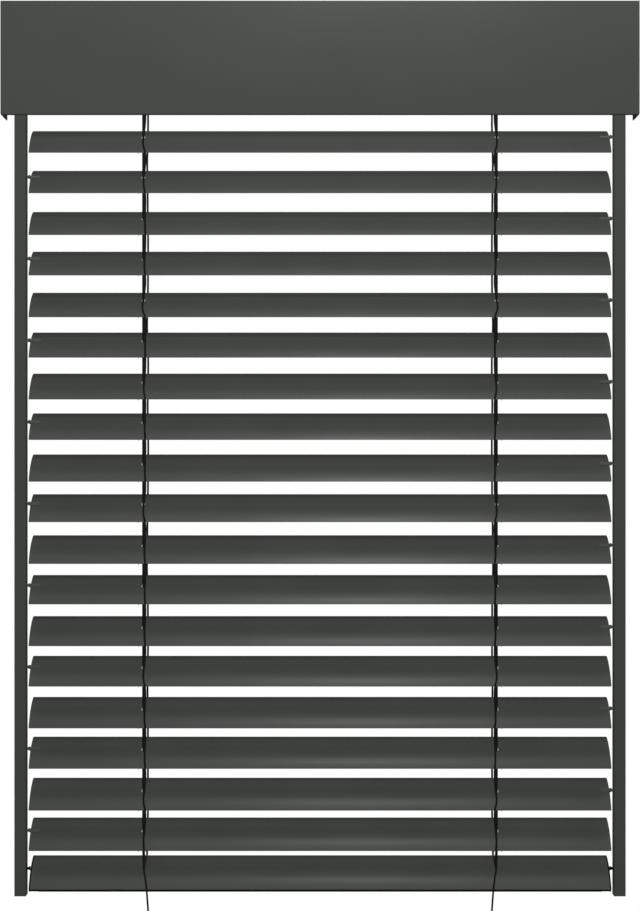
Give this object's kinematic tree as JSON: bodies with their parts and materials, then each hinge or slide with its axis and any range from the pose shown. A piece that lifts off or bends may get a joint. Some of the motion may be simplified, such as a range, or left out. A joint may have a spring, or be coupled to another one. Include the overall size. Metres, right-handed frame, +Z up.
{
  "type": "exterior venetian blind",
  "caption": "Exterior venetian blind with a sheet fascia, side guide rails and curved slats on ladders, which tilt together and lift into a stack under the head rail.",
  "frame": {"origin": "middle of the four ceiling bolt holes, on the ceiling plane", "axes": "+X to the right as seen from outside, +Y towards the window, +Z up"},
  "size_m": [1.109, 0.1027, 1.5921],
  "materials": {
    "anthracite_slat": "satin coil coating on aluminium strip",
    "anthracite_coat": "satin powder coating on folded sheet",
    "anthracite_rail": "satin powder coating on an extrusion",
    "zinc_steel": "zinc-plated steel",
    "motor_coat": "plain grey coating",
    "grey_plastic": "moulded plastic",
    "black_plastic": "moulded plastic",
    "black_textile": "braided polyester"
  },
  "bodies": {
    "root": {"head_rail": "zinc_steel", "ceiling_brackets": "zinc_steel", "rail_adapters": "black_plastic", "screws": "zinc_steel", "fascia_panel": "anthracite_coat", "fascia_end_cap_left": "anthracite_coat", "fascia_end_cap_right": "anthracite_coat", "guide_rail_left": "anthracite_rail", "guide_rail_right": "anthracite_rail", "drive_motor": "motor_coat", "bearing_housing_left": "grey_plastic", "bearing_housing_right": "grey_plastic", "lift_tapes": "black_textile"},
    "bottom_carriage": {"bottom_gliders": "black_plastic"},
    "bottom_rail": {"bottom_rail": "anthracite_slat", "bottom_rail_cover": "black_plastic", "bottom_rail_end_caps": "black_plastic", "cord_tail_left": "black_textile", "cord_tail_right": "black_textile"},
    "drive_shaft": {"drive_shaft": "zinc_steel", "tape_reels": "grey_plastic"},
    "tilt_drums": {"tilt_drums": "grey_plastic"},
    "ladder_front": {"ladder_strings_front": "black_textile"},
    "ladder_rear": {"ladder_strings_rear": "black_textile"},
    "glider_01": {"glider_01": "black_plastic"},
    "slat_01": {"slat_01": "anthracite_slat"},
    "glider_02": {"glider_02": "black_plastic"},
    "slat_02": {"slat_02": "anthracite_slat"},
    "glider_03": {"glider_03": "black_plastic"},
    "slat_03": {"slat_03": "anthracite_slat"},
    "glider_04": {"glider_04": "black_plastic"},
    "slat_04": {"slat_04": "anthracite_slat"},
    "glider_05": {"glider_05": "black_plastic"},
    "slat_05": {"slat_05": "anthracite_slat"},
    "glider_06": {"glider_06": "black_plastic"},
    "slat_06": {"slat_06": "anthracite_slat"},
    "glider_07": {"glider_07": "black_plastic"},
    "slat_07": {"slat_07": "anthracite_slat"},
    "glider_08": {"glider_08": "black_plastic"},
    "slat_08": {"slat_08": "anthracite_slat"},
    "glider_09": {"glider_09": "black_plastic"},
    "slat_09": {"slat_09": "anthracite_slat"},
    "glider_10": {"glider_10": "black_plastic"},
    "slat_10": {"slat_10": "anthracite_slat"},
    "glider_11": {"glider_11": "black_plastic"},
    "slat_11": {"slat_11": "anthracite_slat"},
    "glider_12": {"glider_12": "black_plastic"},
    "slat_12": {"slat_12": "anthracite_slat"},
    "glider_13": {"glider_13": "black_plastic"},
    "slat_13": {"slat_13": "anthracite_slat"},
    "glider_14": {"glider_14": "black_plastic"},
    "slat_14": {"slat_14": "anthracite_slat"},
    "glider_15": {"glider_15": "black_plastic"},
    "slat_15": {"slat_15": "anthracite_slat"},
    "glider_16": {"glider_16": "black_plastic"},
    "slat_16": {"slat_16": "anthracite_slat"},
    "glider_17": {"glider_17": "black_plastic"},
    "slat_17": {"slat_17": "anthracite_slat"},
    "glider_18": {"glider_18": "black_plastic"},
    "slat_18": {"slat_18": "anthracite_slat"}
  },
  "joints": [
    {"name": "lift", "type": "slide", "parent": "root", "child": "bottom_carriage", "axis": [0, 0, 1], "range_m": [0, 1.2514], "deforming": ["lift_tapes", "ladder_strings_front", "ladder_strings_rear"]},
    {"name": "tilt", "type": "hinge", "parent": "bottom_carriage", "child": "bottom_rail", "pos_m": [0, 0, -1.5175], "axis": [-1, 0, 0], "range_deg": [-28.1, 36.4]},
    {"name": "shaft_turn", "type": "hinge", "parent": "root", "child": "drive_shaft", "pos_m": [0, 0, -0.0285], "axis": [-1, 0, 0], "range_deg": [0, 5828]},
    {"name": "drum_turn", "type": "hinge", "parent": "root", "child": "tilt_drums", "pos_m": [0, 0, -0.0285], "axis": [-1, 0, 0], "range_deg": [-46, 59]},
    {"name": "ladder_front_shift", "type": "slide", "parent": "root", "child": "ladder_front", "axis": [0, 1, 0], "range_m": [-0.0205, 0.016]},
    {"name": "ladder_rear_shift", "type": "slide", "parent": "root", "child": "ladder_rear", "axis": [0, 1, 0], "range_m": [-0.0078, 0.0101]},
    {"name": "lift_01", "type": "slide", "parent": "root", "child": "glider_01", "axis": [0, 0, 1], "range_m": [0, 0.133]},
    {"name": "tilt_01", "type": "hinge", "parent": "glider_01", "child": "slat_01", "pos_m": [0, 0, -0.2276], "axis": [-1, 0, 0], "range_deg": [-28.1, 36.4]},
    {"name": "lift_02", "type": "slide", "parent": "root", "child": "glider_02", "axis": [0, 0, 1], "range_m": [0, 0.196]},
    {"name": "tilt_02", "type": "hinge", "parent": "glider_02", "child": "slat_02", "pos_m": [0, 0, -0.2984], "axis": [-1, 0, 0], "range_deg": [-28.1, 36.4]},
    {"name": "lift_03", "type": "slide", "parent": "root", "child": "glider_03", "axis": [0, 0, 1], "range_m": [0, 0.26]},
    {"name": "tilt_03", "type": "hinge", "parent": "glider_03", "child": "slat_03", "pos_m": [0, 0, -0.3716], "axis": [-1, 0, 0], "range_deg": [-28.1, 36.4]},
    {"name": "lift_04", "type": "slide", "parent": "root", "child": "glider_04", "axis": [0, 0, 1], "range_m": [0, 0.323]},
    {"name": "tilt_04", "type": "hinge", "parent": "glider_04", "child": "slat_04", "pos_m": [0, 0, -0.4424], "axis": [-1, 0, 0], "range_deg": [-28.1, 36.4]},
    {"name": "lift_05", "type": "slide", "parent": "root", "child": "glider_05", "axis": [0, 0, 1], "range_m": [0, 0.387]},
    {"name": "tilt_05", "type": "hinge", "parent": "glider_05", "child": "slat_05", "pos_m": [0, 0, -0.5156], "axis": [-1, 0, 0], "range_deg": [-28.1, 36.4]},
    {"name": "lift_06", "type": "slide", "parent": "root", "child": "glider_06", "axis": [0, 0, 1], "range_m": [0, 0.45]},
    {"name": "tilt_06", "type": "hinge", "parent": "glider_06", "child": "slat_06", "pos_m": [0, 0, -0.5864], "axis": [-1, 0, 0], "range_deg": [-28.1, 36.4]},
    {"name": "lift_07", "type": "slide", "parent": "root", "child": "glider_07", "axis": [0, 0, 1], "range_m": [0, 0.514]},
    {"name": "tilt_07", "type": "hinge", "parent": "glider_07", "child": "slat_07", "pos_m": [0, 0, -0.6596], "axis": [-1, 0, 0], "range_deg": [-28.1, 36.4]},
    {"name": "lift_08", "type": "slide", "parent": "root", "child": "glider_08", "axis": [0, 0, 1], "range_m": [0, 0.577]},
    {"name": "tilt_08", "type": "hinge", "parent": "glider_08", "child": "slat_08", "pos_m": [0, 0, -0.7304], "axis": [-1, 0, 0], "range_deg": [-28.1, 36.4]},
    {"name": "lift_09", "type": "slide", "parent": "root", "child": "glider_09", "axis": [0, 0, 1], "range_m": [0, 0.641]},
    {"name": "tilt_09", "type": "hinge", "parent": "glider_09", "child": "slat_09", "pos_m": [0, 0, -0.8036], "axis": [-1, 0, 0], "range_deg": [-28.1, 36.4]},
    {"name": "lift_10", "type": "slide", "parent": "root", "child": "glider_10", "axis": [0, 0, 1], "range_m": [0, 0.704]},
    {"name": "tilt_10", "type": "hinge", "parent": "glider_10", "child": "slat_10", "pos_m": [0, 0, -0.8744], "axis": [-1, 0, 0], "range_deg": [-28.1, 36.4]},
    {"name": "lift_11", "type": "slide", "parent": "root", "child": "glider_11", "axis": [0, 0, 1], "range_m": [0, 0.768]},
    {"name": "tilt_11", "type": "hinge", "parent": "glider_11", "child": "slat_11", "pos_m": [0, 0, -0.9476], "axis": [-1, 0, 0], "range_deg": [-28.1, 36.4]},
    {"name": "lift_12", "type": "slide", "parent": "root", "child": "glider_12", "axis": [0, 0, 1], "range_m": [0, 0.831]},
    {"name": "tilt_12", "type": "hinge", "parent": "glider_12", "child": "slat_12", "pos_m": [0, 0, -1.0184], "axis": [-1, 0, 0], "range_deg": [-28.1, 36.4]},
    {"name": "lift_13", "type": "slide", "parent": "root", "child": "glider_13", "axis": [0, 0, 1], "range_m": [0, 0.895]},
    {"name": "tilt_13", "type": "hinge", "parent": "glider_13", "child": "slat_13", "pos_m": [0, 0, -1.0916], "axis": [-1, 0, 0], "range_deg": [-28.1, 36.4]},
    {"name": "lift_14", "type": "slide", "parent": "root", "child": "glider_14", "axis": [0, 0, 1], "range_m": [0, 0.958]},
    {"name": "tilt_14", "type": "hinge", "parent": "glider_14", "child": "slat_14", "pos_m": [0, 0, -1.1624], "axis": [-1, 0, 0], "range_deg": [-28.1, 36.4]},
    {"name": "lift_15", "type": "slide", "parent": "root", "child": "glider_15", "axis": [0, 0, 1], "range_m": [0, 1.022]},
    {"name": "tilt_15", "type": "hinge", "parent": "glider_15", "child": "slat_15", "pos_m": [0, 0, -1.2356], "axis": [-1, 0, 0], "range_deg": [-28.1, 36.4]},
    {"name": "lift_16", "type": "slide", "parent": "root", "child": "glider_16", "axis": [0, 0, 1], "range_m": [0, 1.085]},
    {"name": "tilt_16", "type": "hinge", "parent": "glider_16", "child": "slat_16", "pos_m": [0, 0, -1.3064], "axis": [-1, 0, 0], "range_deg": [-28.1, 36.4]},
    {"name": "lift_17", "type": "slide", "parent": "root", "child": "glider_17", "axis": [0, 0, 1], "range_m": [0, 1.149]},
    {"name": "tilt_17", "type": "hinge", "parent": "glider_17", "child": "slat_17", "pos_m": [0, 0, -1.3796], "axis": [-1, 0, 0], "range_deg": [-28.1, 36.4]},
    {"name": "lift_18", "type": "slide", "parent": "root", "child": "glider_18", "axis": [0, 0, 1], "range_m": [0, 1.212]},
    {"name": "tilt_18", "type": "hinge", "parent": "glider_18", "child": "slat_18", "pos_m": [0, 0, -1.4504], "axis": [-1, 0, 0], "range_deg": [-28.1, 36.4]}
  ],
  "couplings": [
    {"joint": "shaft_turn", "follows": "lift", "rad_per_m": 81},
    {"joint": "drum_turn", "follows": "tilt", "ratio": 1.6},
    {"joint": "ladder_front_shift", "follows": "tilt", "m_per_rad": -0.0318},
    {"joint": "ladder_rear_shift", "follows": "tilt", "m_per_rad": 0.0157},
    {"joint": "lift_01", "follows": "lift", "ratio": 0.10614},
    {"joint": "tilt_01", "follows": "tilt", "ratio": 1},
    {"joint": "lift_02", "follows": "lift", "ratio": 0.15604},
    {"joint": "tilt_02", "follows": "tilt", "ratio": 1},
    {"joint": "lift_03", "follows": "lift", "ratio": 0.20762},
    {"joint": "tilt_03", "follows": "tilt", "ratio": 1},
    {"joint": "lift_04", "follows": "lift", "ratio": 0.25752},
    {"joint": "tilt_04", "follows": "tilt", "ratio": 1},
    {"joint": "lift_05", "follows": "lift", "ratio": 0.30911},
    {"joint": "tilt_05", "follows": "tilt", "ratio": 1},
    {"joint": "lift_06", "follows": "lift", "ratio": 0.35901},
    {"joint": "tilt_06", "follows": "tilt", "ratio": 1},
    {"joint": "lift_07", "follows": "lift", "ratio": 0.4106},
    {"joint": "tilt_07", "follows": "tilt", "ratio": 1},
    {"joint": "lift_08", "follows": "lift", "ratio": 0.46049},
    {"joint": "tilt_08", "follows": "tilt", "ratio": 1},
    {"joint": "lift_09", "follows": "lift", "ratio": 0.51208},
    {"joint": "tilt_09", "follows": "tilt", "ratio": 1},
    {"joint": "lift_10", "follows": "lift", "ratio": 0.56198},
    {"joint": "tilt_10", "follows": "tilt", "ratio": 1},
    {"joint": "lift_11", "follows": "lift", "ratio": 0.61357},
    {"joint": "tilt_11", "follows": "tilt", "ratio": 1},
    {"joint": "lift_12", "follows": "lift", "ratio": 0.66347},
    {"joint": "tilt_12", "follows": "tilt", "ratio": 1},
    {"joint": "lift_13", "follows": "lift", "ratio": 0.71506},
    {"joint": "tilt_13", "follows": "tilt", "ratio": 1},
    {"joint": "lift_14", "follows": "lift", "ratio": 0.76495},
    {"joint": "tilt_14", "follows": "tilt", "ratio": 1},
    {"joint": "lift_15", "follows": "lift", "ratio": 0.81654},
    {"joint": "tilt_15", "follows": "tilt", "ratio": 1},
    {"joint": "lift_16", "follows": "lift", "ratio": 0.86644},
    {"joint": "tilt_16", "follows": "tilt", "ratio": 1},
    {"joint": "lift_17", "follows": "lift", "ratio": 0.91803},
    {"joint": "tilt_17", "follows": "tilt", "ratio": 1},
    {"joint": "lift_18", "follows": "lift", "ratio": 0.96793},
    {"joint": "tilt_18", "follows": "tilt", "ratio": 1}
  ]
}
